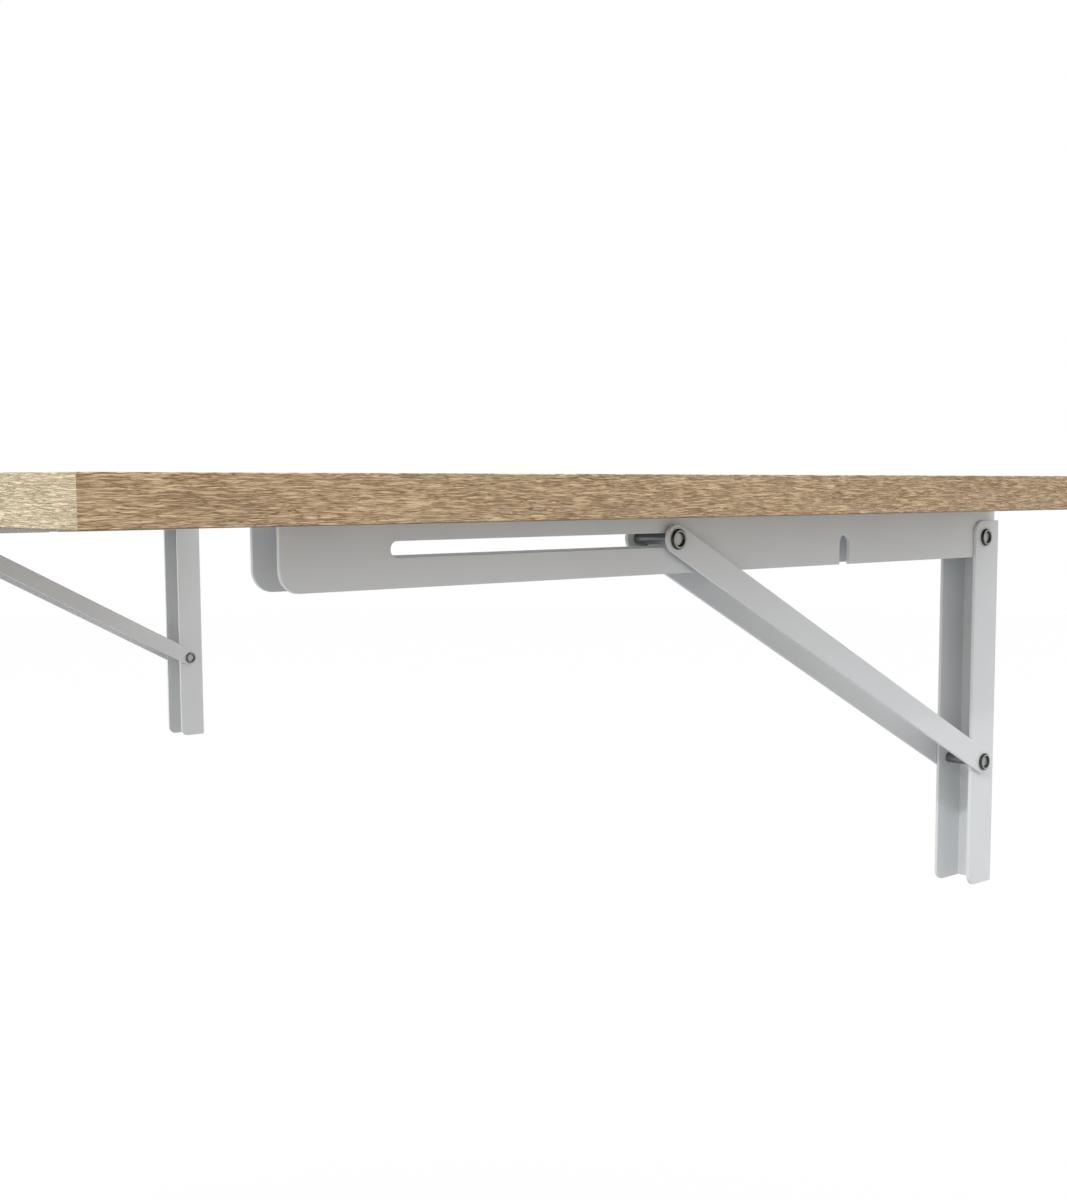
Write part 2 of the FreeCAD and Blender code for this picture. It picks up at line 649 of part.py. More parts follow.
def make_bracket(side, across, screw):
    """Make one whole folding bracket at a place along the wall."""
    make_wall_channel(f"{side}_wall_channel", across)
    make_arm_channel(f"{side}_arm_channel", across)
    make_arm_screws(f"{side}_arm_screws", across, screw)
    make_strut_bar(f"{side}_strut_bar_right", across, BAR_INNER_FACE)
    make_strut_bar(f"{side}_strut_bar_left", across, f"(-1 * {BAR_OUTER_FACE})")

    arm_pivot = (across, "(-Sizes.pivot_reach)", ARM_PIVOT_HEIGHT)
    arm_sleeve_length = f"{ARM_INSIDE} - 2 * Sizes.slide_gap"
    make_rivet(f"{side}_arm_pivot_rivet", across, ARM_PIVOT_HEIGHT, f"({CHANNEL_WIDTH} / 2)")
    make_sleeve(f"{side}_arm_pivot_sleeve", arm_pivot, arm_sleeve_length, "Sizes.sleeve_diameter")
    strut_pivot = (across, "(-Sizes.pivot_reach)", STRUT_PIVOT_HEIGHT)
    strut_grip = f"({BAR_OUTER_FACE} + Sizes.slide_gap)"
    make_rivet(f"{side}_strut_pivot_rivet", across, STRUT_PIVOT_HEIGHT, strut_grip)
    make_sleeve(f"{side}_strut_pivot_sleeve", strut_pivot, CHANNEL_INSIDE, "Sizes.sleeve_diameter")

    pin_length = f"2 * ({BAR_INNER_FACE} - Sizes.slide_gap)"
    pin_place = (across, "(-Sizes.pivot_reach - Sizes.strut_reach)", PIN_HEIGHT)
    make_slider_pin(f"{side}_slider_pin", across, pin_length)
    make_sleeve(f"{side}_slider_sleeve", pin_place, pin_length, "Sizes.slider_sleeve_diameter")
    make_rivet_end(f"{side}_slider_pin_right_end", across, BAR_INNER_FACE, 1)
    make_rivet_end(f"{side}_slider_pin_left_end", across, f"(-1 * {BAR_INNER_FACE})", -1)


def check_document():
    """Stop when any object failed or any node's shape is missing or broken."""
    for item in doc.Objects:
        if "Invalid" in item.State or "Error" in item.State:
            raise RuntimeError(f"{item.Label} failed: {item.State}")
    for node in nodes:
        if node.Shape.isNull() or not node.Shape.isValid():
            raise RuntimeError(f"{node.Label} has no valid shape")


def export_nodes():
    """Write each node's shape to a STEP file of its own."""
    os.makedirs("parts", exist_ok=True)
    for node in nodes:
        node.Shape.exportStep(f"parts/{node.Label}.step")


sheet = make_sheet()
make_tabletop()
screw = make_single_screw()
for side, side_share in (("left", -0.5), ("right", 0.5)):
    make_bracket(side, f"({side_share} * {BRACKET_SPACING})", screw)
doc.recompute()
check_document()
export_nodes()
print(len(nodes), "nodes")
print("strut length", value_of(STRUT_LENGTH), "strut angle", value_of(STRUT_ANGLE))
print("pin above arm pivot", value_of(PIN_ABOVE_ARM_PIVOT), "folded reach", value_of(FOLDED_REACH))
print("underside height", value_of(UNDERSIDE), "arm pivot height", value_of(ARM_PIVOT_HEIGHT))
print("strut pivot height", value_of(STRUT_PIVOT_HEIGHT), "pin height", value_of(PIN_HEIGHT))
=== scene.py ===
"""Dress the fold-down wall table: oak-look top, powder-coated brackets, rivets, screws and stage."""

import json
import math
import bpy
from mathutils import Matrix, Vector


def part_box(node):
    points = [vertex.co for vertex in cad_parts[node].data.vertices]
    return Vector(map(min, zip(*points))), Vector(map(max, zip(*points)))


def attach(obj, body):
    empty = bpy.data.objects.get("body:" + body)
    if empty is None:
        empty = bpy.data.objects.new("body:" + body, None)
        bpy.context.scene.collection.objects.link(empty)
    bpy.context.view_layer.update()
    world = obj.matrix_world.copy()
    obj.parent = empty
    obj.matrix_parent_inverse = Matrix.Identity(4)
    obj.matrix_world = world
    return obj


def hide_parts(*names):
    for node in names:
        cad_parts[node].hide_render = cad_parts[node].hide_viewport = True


bl_info = {
    "name": "Fold-down wall table",
    "version": (1, 0, 0),
    "blender": (4, 5, 0),
    "location": "3D View > Sidebar > Wall Table",
    "description": "Gives a fold-down wall table its oak-look top, coated steel brackets, rivets and screws",
    "category": "Object",
}

from typing import NamedTuple

import bmesh
import bpy
from bpy.props import FloatProperty, FloatVectorProperty, IntProperty, PointerProperty
from mathutils import Matrix, Vector

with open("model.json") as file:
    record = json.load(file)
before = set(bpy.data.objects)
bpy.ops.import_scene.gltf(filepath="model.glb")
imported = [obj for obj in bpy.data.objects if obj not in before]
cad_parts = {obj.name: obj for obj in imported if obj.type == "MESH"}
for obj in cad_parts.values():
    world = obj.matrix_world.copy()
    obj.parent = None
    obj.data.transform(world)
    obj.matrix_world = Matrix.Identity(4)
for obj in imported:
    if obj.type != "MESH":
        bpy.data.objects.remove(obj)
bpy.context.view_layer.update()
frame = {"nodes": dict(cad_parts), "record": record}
BODY_OF_NODE = {
    node: body
    for body, nodes in frame["record"]["behaviour"]["bodies"].items()
    for node in nodes
}
SIDES = ("left", "right")
MM = 0.001


def box_size(node):
    """Give a CAD node's size along X, Y and Z."""
    low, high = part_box(node)
    return high - low


def box_middle(node):
    """Give the middle of a CAD node's box."""
    low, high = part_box(node)
    return (low + high) / 2


# The channels' sheet is as thick as the strut bars.
SHEET_THICKNESS = box_size("left_strut_bar_right").x
RIVET_HEAD_HEIGHT = box_size("left_slider_pin_right_end").x - SHEET_THICKNESS
RIVET_HEAD_RADIUS = box_size("left_slider_pin_right_end").y / 2
SHANK_RADIUS = box_size("left_slider_pin").y / 2


# Settings that a user would change


class OakSettings(bpy.types.PropertyGroup):
    """Colours and grain of the oak-look laminate and edging."""

    light: FloatVectorProperty(
        name="Light grain", description="Palest lines of the grain", subtype="COLOR",
        default=(0.705, 0.513, 0.307))
    middle: FloatVectorProperty(
        name="Middle grain", description="Main colour of the wood", subtype="COLOR",
        default=(0.400, 0.268, 0.138))
    dark: FloatVectorProperty(
        name="Dark grain", description="Pores and darker figure", subtype="COLOR",
        default=(0.185, 0.104, 0.045))
    # The front edging is paler than the side: partly its own tone, partly painted light on the face that
    # looks forwards.
    front_light: FloatVectorProperty(
        name="Front light grain", description="Palest lines on the front edging", subtype="COLOR",
        default=(0.660, 0.550, 0.362))
    front_middle: FloatVectorProperty(
        name="Front middle grain", description="Main colour of the front edging", subtype="COLOR",
        default=(0.447, 0.360, 0.218))
    front_dark: FloatVectorProperty(
        name="Front dark grain", description="Pores of the front edging", subtype="COLOR",
        default=(0.242, 0.183, 0.096))
    # A darker line along the edging's lower edge.
    edge_line: FloatVectorProperty(
        name="Edge line", description="Glue line along the lower edge", subtype="COLOR",
        default=(0.13, 0.078, 0.040))
    fibre_pitch: FloatProperty(
        name="Fibre pitch", description="Distance between the finest grain lines", unit="LENGTH",
        default=0.38 * MM, min=0.1 * MM, max=10 * MM)
    edging_fibre_length: FloatProperty(
        name="Edging fibre length", description="Length of the edging's grain lines", unit="LENGTH",
        default=9 * MM, min=1 * MM, max=200 * MM)
    laminate_fibre_length: FloatProperty(
        name="Laminate fibre length", description="Length of the laminate's grain lines", unit="LENGTH",
        default=26 * MM, min=1 * MM, max=200 * MM)
    end_width: FloatProperty(
        name="End width", description="Width of the side's colour round the front band's end", unit="LENGTH",
        default=0.2 * MM, min=0, max=2 * MM)
    edge_line_height: FloatProperty(
        name="Edge line height", description="Height of the lower edge's dark line", unit="LENGTH",
        default=0.45 * MM, min=0, max=5 * MM)
    emboss_depth: FloatProperty(
        name="Emboss depth", description="Depth of the pressed grain", unit="LENGTH",
        default=0.23 * MM, min=0, max=1 * MM)
    roughness: FloatProperty(
        name="Roughness", description="Mean roughness of the laminate", subtype="FACTOR",
        default=0.55, min=0, max=1)


class CoatSettings(bpy.types.PropertyGroup):
    """Powder coat of the channels, arms and struts."""

    colour: FloatVectorProperty(
        name="Coat", description="Colour of the powder coat", subtype="COLOR",
        default=(0.735, 0.757, 0.770))
    roughness: FloatProperty(
        name="Roughness", description="Mean roughness of the coat", subtype="FACTOR",
        default=0.42, min=0, max=1)
    peel_size: FloatProperty(
        name="Peel size", description="Size of the coat's ripples", unit="LENGTH",
        default=0.9 * MM, min=0.1 * MM, max=10 * MM)
    peel_depth: FloatProperty(
        name="Peel depth", description="Depth of the coat's ripples", unit="LENGTH",
        default=0.007 * MM, min=0, max=0.2 * MM)


class FastenerSettings(bpy.types.PropertyGroup):
    """Rivets, sleeves and screws."""

    dark_steel: FloatVectorProperty(
        name="Dark steel", description="Blackened steel of the rivets", subtype="COLOR",
        default=(0.045, 0.047, 0.045))
    # Painted highlight: a brighter copy of the steel on the crest of each rivet's lip.
    highlight_steel: FloatVectorProperty(
        name="Worn steel", description="Bare steel on the crest of a rivet's lip", subtype="COLOR",
        default=(0.40, 0.39, 0.37))
    # Painted light: a paler grey copy of the steel on the floor of each rivet's bore.
    lit_floor_steel: FloatVectorProperty(
        name="Rivet floor", description="Steel at the bottom of a rivet's bore", subtype="COLOR",
        default=(0.38, 0.385, 0.37))
    sleeve_steel: FloatVectorProperty(
        name="Sleeve steel", description="Turned steel of the sleeves and slider pins", subtype="COLOR",
        default=(0.22, 0.225, 0.23))
    zinc: FloatVectorProperty(
        name="Zinc", description="Zinc plate of the screws", subtype="COLOR",
        default=(0.62, 0.63, 0.65))
    lip_radius: FloatProperty(
        name="Lip radius", description="Radius of a rivet's rolled lip", unit="LENGTH",
        default=1.0 * MM, min=0.2 * MM, max=2 * MM)
    bore_depth: FloatProperty(
        name="Bore depth", description="Depth of a rivet's bore below its crest", unit="LENGTH",
        default=1.3 * MM, min=0.2 * MM, max=1.6 * MM)
    screw_count: IntProperty(
        name="Screws per arm", description="Screws that hold each arm", default=5, min=2)
    thread_pitch: FloatProperty(
        name="Thread pitch", description="Rise of the screw thread in one turn", unit="LENGTH",
        default=1.6 * MM, min=0.5 * MM, max=4 * MM)
    thread_depth: FloatProperty(
        name="Thread depth", description="Depth of the screw thread", unit="LENGTH",
        default=0.55 * MM, min=0, max=1 * MM)


class StageSettings(bpy.types.PropertyGroup):
    """Floor and lights."""

    floor_colour: FloatVectorProperty(
        name="Floor", description="Colour of the floor as it is seen", subtype="COLOR",
        default=(0.90, 0.90, 0.90))
    floor_bounce: FloatVectorProperty(
        name="Floor bounce", description="Colour of the light that the floor throws up", subtype="COLOR",
        default=(0.40, 0.40, 0.40))
    floor_depth: FloatProperty(
        name="Floor depth", description="Distance of the floor below the origin", unit="LENGTH",
        default=0.6, min=0.1, max=5)
    sky_strength: FloatProperty(
        name="Sky strength", description="Even light from all round", default=1.075, min=0)
    high_power: FloatProperty(
        name="High power", description="Power of the high light at the front right", unit="POWER",
        default=32, min=0)
    front_power: FloatProperty(
        name="Front power", description="Power of the broad light in front", unit="POWER",
        default=11, min=0)
    left_power: FloatProperty(
        name="Left power", description="Power of the broad light at the front left", unit="POWER",
        default=23, min=0)


# Node trees


# A Mix node's colour sockets share their names with its other sockets, so they are taken by their place.
MIX_FACTOR = 0
MIX_FIRST_COLOUR = 6
MIX_SECOND_COLOUR = 7
MIX_COLOUR_RESULT = 2

NOISE_MEAN = 0.5
VEIN_CORE_SHARE = 0.25


class Field:
    """A number that varies over a surface and takes part in arithmetic."""

    def __init__(self, graph, socket):
        self.graph = graph
        self.socket = socket

    def __add__(self, other):
        return self.graph.math("ADD", self, other)

    __radd__ = __add__

    def __sub__(self, other):
        return self.graph.math("SUBTRACT", self, other)

    def __rsub__(self, other):
        return self.graph.math("SUBTRACT", other, self)

    def __mul__(self, other):
        return self.graph.math("MULTIPLY", self, other)

    __rmul__ = __mul__

    def __truediv__(self, other):
        return self.graph.math("DIVIDE", self, other)


def opaque(colour):
    """Give a plain colour full opacity, and a socket as it is."""
    return colour if isinstance(colour, bpy.types.NodeSocket) else (*colour, 1.0)


class Graph:
    """A node tree that is filled in from Python."""

    def __init__(self, tree):
        self.tree = tree

    def feed(self, socket, value):
        """Link a socket to a field or another socket, or set its value."""
        if isinstance(value, Field):
            value = value.socket
        if isinstance(value, bpy.types.NodeSocket):
            self.tree.links.new(value, socket)
        else:
            socket.default_value = value

    def node(self, kind, settings=None, sockets=None):
        """Add a node: its settings first, then the values or links of its sockets."""
        made = self.tree.nodes.new(kind)
        for setting, value in (settings or {}).items():
            setattr(made, setting, value)
        for socket, value in (sockets or {}).items():
            self.feed(made.inputs[socket], value)
        return made

    def math(self, operation, first, second=0.0):
        """Work out one sum on fields or numbers."""
        made = self.node("ShaderNodeMath", {"operation": operation}, {0: first, 1: second})
        return Field(self, made.outputs[0])

    def blend(self, factor, first, second):
        """Mix two colours."""
        made = self.node("ShaderNodeMix", {"data_type": "RGBA"}, {
            MIX_FACTOR: factor, MIX_FIRST_COLOUR: opaque(first), MIX_SECOND_COLOUR: opaque(second)})
        return made.outputs[MIX_COLOUR_RESULT]

    def blend_shaders(self, factor, first, second):
        """Mix two shader nodes into a third."""
        return self.node("ShaderNodeMixShader", sockets={
            0: factor, 1: first.outputs[0], 2: second.outputs[0]})


class Finish(Graph):
    """A material with one Principled shader, built up from Python."""

    def __init__(self, name):
        self.material = bpy.data.materials.new(name)
        self.material.use_nodes = True
        super().__init__(self.material.node_tree)
        self.tree.nodes.clear()

    def place(self):
        """Give the surface's own coordinates as three fields."""
        coordinates = self.node("ShaderNodeTexCoord").outputs["Object"]
        parts = self.node("ShaderNodeSeparateXYZ", sockets={"Vector": coordinates})
        return [Field(self, parts.outputs[axis]) for axis in "XYZ"]

    def noise(self, across, along, detail=1.0):
        """Give soft noise from 0 to 1 over two scaled coordinates."""
        where = self.node("ShaderNodeCombineXYZ", sockets={"X": across, "Y": along})
        made = self.node("ShaderNodeTexNoise", {"noise_dimensions": "2D"}, {
            "Vector": where.outputs["Vector"], "Scale": 1.0, "Detail": detail})
        return Field(self, made.outputs["Fac"])

    def speckle(self, size, detail=2.0):
        """Give soft noise from 0 to 1, with spots of one size in all directions."""
        coordinates = self.node("ShaderNodeTexCoord").outputs["Object"]
        made = self.node("ShaderNodeTexNoise", {"noise_dimensions": "3D"}, {
            "Vector": coordinates, "Scale": 1 / size, "Detail": detail})
        return Field(self, made.outputs["Fac"])

    def painted(self, attribute):
        """Give a number that the mesh carries."""
        return Field(self, self.node("ShaderNodeAttribute", {"attribute_name": attribute}).outputs["Fac"])

    def step(self, field, low, high):
        """Rise smoothly from 0 at low to 1 at high."""
        made = self.node("ShaderNodeMapRange", {"interpolation_type": "SMOOTHSTEP"}, {
            "Value": field, "From Min": low, "From Max": high})
        return Field(self, made.outputs["Result"])

    def vein(self, field, level, width):
        """Draw a thin line of 1 where a field crosses a level."""
        return 1 - self.step(self.math("ABSOLUTE", field - level), VEIN_CORE_SHARE * width, width)

    def bump(self, height, depth):
        """Raise the surface by a height field from 0 to 1 times a depth."""
        made = self.node("ShaderNodeBump", sockets={"Height": height, "Strength": 1.0, "Distance": depth})
        return made.outputs["Normal"]

    def close(self, sockets):
        """Close the material with its Principled shader."""
        shader = self.node("ShaderNodeBsdfPrincipled", sockets=sockets)
        self.node("ShaderNodeOutputMaterial", sockets={"Surface": shader.outputs["BSDF"]})
        return self.material

    def close_metal(self, colour, texture, metallic, roughness, variation, relief):
        """Close a metal's finish, whose texture varies its roughness and stands out by its relief."""
        return self.close({
            "Base Color": colour,
            "Metallic": metallic,
            "Roughness": roughness + texture * variation,
            "Normal": self.bump(texture, relief),
        })


# Oak


class Mark(NamedTuple):
    """One kind of mark that is drawn out along the bent grain."""

    width: float  # in fibre pitches
    length: float  # in fibre lengths
    lean: float  # marks along the grain for each metre across it, which keeps them out of columns
    detail: float
    start: float = 0.0  # marks across the grain from the first one of its noise


FIBRE = Mark(width=1, length=1, lean=90, detail=1.0)
STRAND = Mark(width=2.2, length=1.8, lean=70, detail=2.0)
THREAD = Mark(width=1.7, length=1.1, lean=80, detail=1.5, start=31)

# The grain's bends: their number across it and along it, and their swing in fibre pitches.
DRIFTS_PER_METRE_ACROSS = 16
DRIFTS_PER_METRE_ALONG = 4
DRIFT_SWING = 9
RIPPLES_PER_METRE_ACROSS = 150
RIPPLES_PER_FIBRE_LENGTH = 0.43
RIPPLE_SWING = 2.6
QUIVERS_PER_METRE_ACROSS = 500
QUIVERS_PER_FIBRE_LENGTH = 1.7
QUIVER_SWING = 1.1

# Patches where the wood is a little paler and its pits are fainter.
PATCHES_PER_METRE_ACROSS = 120
PATCHES_PER_METRE_ALONG = 14
PATCH_LEAN = 45
PATCH_DETAIL = 2.0

# The pale wood: how far it follows each kind of mark, and the range over which middle turns to light.
PALE_FIBRE_SHARE = 0.66
PALE_STRAND_SHARE = 0.30
PALE_PATCH_SHARE = 0.04
PALE_RANGE = (0.42, 0.57)

# Darker streaks at a slant to the grain.
STREAK_SLANT = 0.17
STREAKS_PER_METRE_ACROSS = 150
STREAKS_PER_METRE_ALONG = 12
STREAK_LEAN = 40
STREAK_FRAY = 0.6
STREAK_DETAIL = 1.5
STREAK_RANGE = (0.50, 0.76)
STREAK_STRENGTH = 0.22

# Growth rings, which wander across the grain by a length.
RINGS_PER_METRE_ACROSS = 95
RINGS_PER_METRE_ALONG = 0.9
RING_DETAIL = 3.0
RING_RANGE = (0.50, 0.70)
WANDERS_PER_METRE_ACROSS = 5
WANDERS_PER_METRE_ALONG = 1.2
WANDER_START = 9
WANDER_DETAIL = 1.5
WANDER_LENGTH = 0.16
LAMINATE_RING_STRENGTH = 0.45
EDGING_RING_STRENGTH = 0.10

# Pits: fine dark lines along the strands and threads.
PIT_WIDTH = 0.055
STRAND_PIT_LEVEL = 0.47
STRAND_PIT_STRENGTH = 0.55
THREAD_PIT_LEVEL = 0.54
THREAD_PIT_STRENGTH = 0.9
THREAD_PIT_LOSS_IN_PATCHES = 0.7
PIT_DARKNESS = 0.95
PIT_MEAN = 0.2
PIT_ROUGHNESS = 0.15

# The pressed grain, as shares of the emboss depth.
FIBRE_RELIEF_SHARE = 0.5
STRAND_RELIEF_SHARE = 0.3
PIT_RELIEF_SHARE = 0.6

EDGE_LINE_CORE_SHARE = 0.35
EDGE_LINE_STRENGTH = 0.8


def turn_grain_at_ends(finish, x, y):
    """Let the grain turn from X to Y at a front or rear band's ends, and tell with 1 where that is."""
    outer_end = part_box("front_edge_band")[1].x
    end_width = bpy.context.scene.wall_table_oak.end_width
    at_end = finish.math("GREATER_THAN", finish.math("ABSOLUTE", x), outer_end - end_width)
    return x + (y - x) * at_end, y + (x - y) * at_end, at_end


def bend_grain(finish, across, along, length):
    """Give the place across the grain once it drifts, ripples and quivers."""
    ripple = finish.noise(across * RIPPLES_PER_METRE_ACROSS, along * (RIPPLES_PER_FIBRE_LENGTH / length))
    quiver = finish.noise(across * QUIVERS_PER_METRE_ACROSS, along * (QUIVERS_PER_FIBRE_LENGTH / length))
    drift = finish.noise(across * DRIFTS_PER_METRE_ACROSS, along * DRIFTS_PER_METRE_ALONG)
    swerve = ((ripple - NOISE_MEAN) * RIPPLE_SWING + (drift - NOISE_MEAN) * DRIFT_SWING
              + (quiver - NOISE_MEAN) * QUIVER_SWING)
    return across + swerve * bpy.context.scene.wall_table_oak.fibre_pitch


def draw_figure(finish, across, along, strands, ring_strength):
    """Give the darker figure of slanting streaks and growth rings."""
    slanted = across - along * STREAK_SLANT
    streaks = finish.noise(slanted * STREAKS_PER_METRE_ACROSS + strands * STREAK_FRAY,
                           along * STREAKS_PER_METRE_ALONG + across * STREAK_LEAN, STREAK_DETAIL)
    wander = finish.noise(across * WANDERS_PER_METRE_ACROSS, along * WANDERS_PER_METRE_ALONG + WANDER_START,
                          WANDER_DETAIL)
    wandered = across + (wander - NOISE_MEAN) * WANDER_LENGTH
    rings = finish.noise(wandered * RINGS_PER_METRE_ACROSS, along * RINGS_PER_METRE_ALONG, RING_DETAIL)
    dark_streaks = finish.step(streaks, *STREAK_RANGE) * STREAK_STRENGTH
    return dark_streaks + finish.step(rings, *RING_RANGE) * ring_strength


def draw_pits(finish, strands, threads, patches):
    """Give the fine pits, of which those along the threads fade in the patches."""
    strand_pits = finish.vein(strands, STRAND_PIT_LEVEL, PIT_WIDTH) * STRAND_PIT_STRENGTH
    strength = THREAD_PIT_STRENGTH - THREAD_PIT_LOSS_IN_PATCHES * patches
    return strand_pits + finish.vein(threads, THREAD_PIT_LEVEL, PIT_WIDTH) * strength


def draw_edge_line(finish, z, height):
    """Give the darker line along an edge band's lower edge."""
    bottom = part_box("right_edge_band")[0].z
    return (1 - finish.step(z - bottom, EDGE_LINE_CORE_SHARE * height, height)) * EDGE_LINE_STRENGTH


def oak(name, along_axis, length, wood, ring_strength, edged=False, end_wood=None):
    """Make the oak-look finish from its light, middle and dark colour, with its grain along X or Y.

    The grain's finest lines have the length that is given. An edged finish has a dark line at its lower edge.
    Where an end wood is given, the band's ends are of that wood, and the side's grain runs on over them.
    """
    settings = bpy.context.scene.wall_table_oak
    finish = Finish(name)
    x, y, z = finish.place()
    along, side = (x, y) if along_axis == "X" else (y, x)
    if end_wood:
        along, side, at_end = turn_grain_at_ends(finish, x, y)
        wood = [finish.blend(at_end, face, end) for face, end in zip(wood, end_wood)]
    light, middle, dark = wood
    across = side + z
    bent = bend_grain(finish, across, along, length)

    def draw(mark):
        """Draw one kind of mark along the bent grain."""
        return finish.noise(bent / (mark.width * settings.fibre_pitch) + mark.start,
                            along / (mark.length * length) + across * mark.lean, mark.detail)

    fibres, strands, threads = draw(FIBRE), draw(STRAND), draw(THREAD)
    patches = finish.noise(across * PATCHES_PER_METRE_ACROSS,
                           along * PATCHES_PER_METRE_ALONG + across * PATCH_LEAN, PATCH_DETAIL)
    pale = fibres * PALE_FIBRE_SHARE + strands * PALE_STRAND_SHARE + patches * PALE_PATCH_SHARE
    colour = finish.blend(finish.step(pale, *PALE_RANGE), middle, light)
    colour = finish.blend(draw_figure(finish, across, along, strands, ring_strength), colour, dark)
    pits = draw_pits(finish, strands, threads, patches)
    colour = finish.blend(pits * PIT_DARKNESS, colour, dark)
    if edged:
        line = draw_edge_line(finish, z, settings.edge_line_height)
        colour = finish.blend(line, colour, settings.edge_line)
    height = fibres * FIBRE_RELIEF_SHARE + strands * STRAND_RELIEF_SHARE - pits * PIT_RELIEF_SHARE
    return finish.close({
        "Base Color": colour,
        "Roughness": settings.roughness + (pits - PIT_MEAN) * PIT_ROUGHNESS,
        "Normal": finish.bump(height, settings.emboss_depth),
    })


# Chipboard, coat and steel


CHIP_SIZE = 3 * MM
CHIP_DETAIL = 3.0
CHIP_RANGE = (0.35, 0.7)
CHIP_DEPTH = 0.2 * MM
DARK_CHIP = (0.40, 0.27, 0.15)
LIGHT_CHIP = (0.62, 0.47, 0.30)
CHIP_ROUGHNESS = 0.85
CLOUD_SIZE = 45 * MM
CLOUD_RANGE = (0.3, 0.7)
CLOUD_SHADE = 0.965
PEEL_DETAIL = 1.5
PEEL_ROUGHNESS = 0.10
COAT_SPECULAR = 0.45
BLACKING_SPOT = 0.8 * MM
# The painted highlight on the rivets' crests: how it frays and the range over which it fades in.
HIGHLIGHT_FRAY = 0.25
HIGHLIGHT_RANGE = (0.35, 0.75)
TURNING_MARKS_PER_METRE = 5200
TURNING_WAVES_PER_METRE = 30
TURNING_SHADE = 0.6
ZINC_SPOT = 1.2 * MM
ZINC_SHADE = 0.8


def shaded(colour, shade):
    """Give a colour at a share of its brightness."""
    return tuple(channel * shade for channel in colour)


def chipboard():
    """Make the raw core board, seen only where it is bare."""
    finish = Finish("chipboard")
    chips = finish.speckle(CHIP_SIZE, CHIP_DETAIL)
    return finish.close({
        "Base Color": finish.blend(finish.step(chips, *CHIP_RANGE), DARK_CHIP, LIGHT_CHIP),
        "Roughness": CHIP_ROUGHNESS,
        "Normal": finish.bump(chips, CHIP_DEPTH),
    })


def powder_coat():
    """Make the pale grey powder coat with its fine ripple."""
    settings = bpy.context.scene.wall_table_coat
    finish = Finish("powder_coat")
    peel = finish.speckle(settings.peel_size, PEEL_DETAIL)
    clouds = finish.step(finish.speckle(CLOUD_SIZE), *CLOUD_RANGE)
    return finish.close({
        "Base Color": finish.blend(clouds, shaded(settings.colour, CLOUD_SHADE), settings.colour),
        "Roughness": settings.roughness + (peel - NOISE_MEAN) * PEEL_ROUGHNESS,
        "Specular IOR Level": COAT_SPECULAR,
        "Normal": finish.bump(peel, settings.peel_depth),
    })


def rivet_steel():
    """Make blackened steel, with a painted highlight in bright steel where the mesh marks the lip's crest and
    painted light in grey where it marks the bore's floor.
    """
    settings = bpy.context.scene.wall_table_fasteners
    finish = Finish("rivet_steel")
    mottle = finish.speckle(BLACKING_SPOT)
    # Paint a highlight on the lip's crest as brighter steel.
    painted_highlight = finish.step(finish.painted("rim_highlight") + (mottle - NOISE_MEAN) * HIGHLIGHT_FRAY, *HIGHLIGHT_RANGE)
    colour = finish.blend(painted_highlight, settings.dark_steel, settings.highlight_steel)
    # Paint light on the bore's floor as paler grey steel.
    colour = finish.blend(finish.painted("bore_floor"), colour, settings.lit_floor_steel)
    return finish.close_metal(
        colour, mottle, metallic=0.85, roughness=0.30, variation=0.12, relief=0.01 * MM)


def turned_steel():
    """Make the sleeves' dark steel with fine turning marks round the X axis."""
    steel = bpy.context.scene.wall_table_fasteners.sleeve_steel
    finish = Finish("turned_steel")
    x, y, z = finish.place()
    marks = finish.noise(x * TURNING_MARKS_PER_METRE, (y + z) * TURNING_WAVES_PER_METRE)
    return finish.close_metal(
        finish.blend(marks, shaded(steel, TURNING_SHADE), steel), marks,
        metallic=0.9, roughness=0.34, variation=0.12, relief=0.012 * MM)


def zinc_plate():
    """Make the bright zinc of the arm screws."""
    zinc = bpy.context.scene.wall_table_fasteners.zinc
    finish = Finish("zinc_plate")
    mottle = finish.speckle(ZINC_SPOT)
    return finish.close_metal(
        finish.blend(mottle, shaded(zinc, ZINC_SHADE), zinc), mottle,
        metallic=1.0, roughness=0.26, variation=0.16, relief=0.008 * MM)


def dress(node, material):
    """Give a CAD node its finish and leave its shape alone."""
    for slot in frame["nodes"][node].material_slots:
        slot.material = material


# Meshes, pieces and geometry node trees


SHARP_ANGLE = math.radians(40)


def smooth(mesh):
    """Shade a mesh smoothly and keep its sharp edges."""
    mesh.shade_smooth()
    mesh.set_sharp_from_angle(angle=SHARP_ANGLE)


def mesh_from(shape, name):
    """Turn a finished shape into a mesh, with its faces outwards."""
    bmesh.ops.recalc_face_normals(shape, faces=shape.faces)
    mesh = bpy.data.meshes.new(name)
    shape.to_mesh(mesh)
    shape.free()
    return mesh


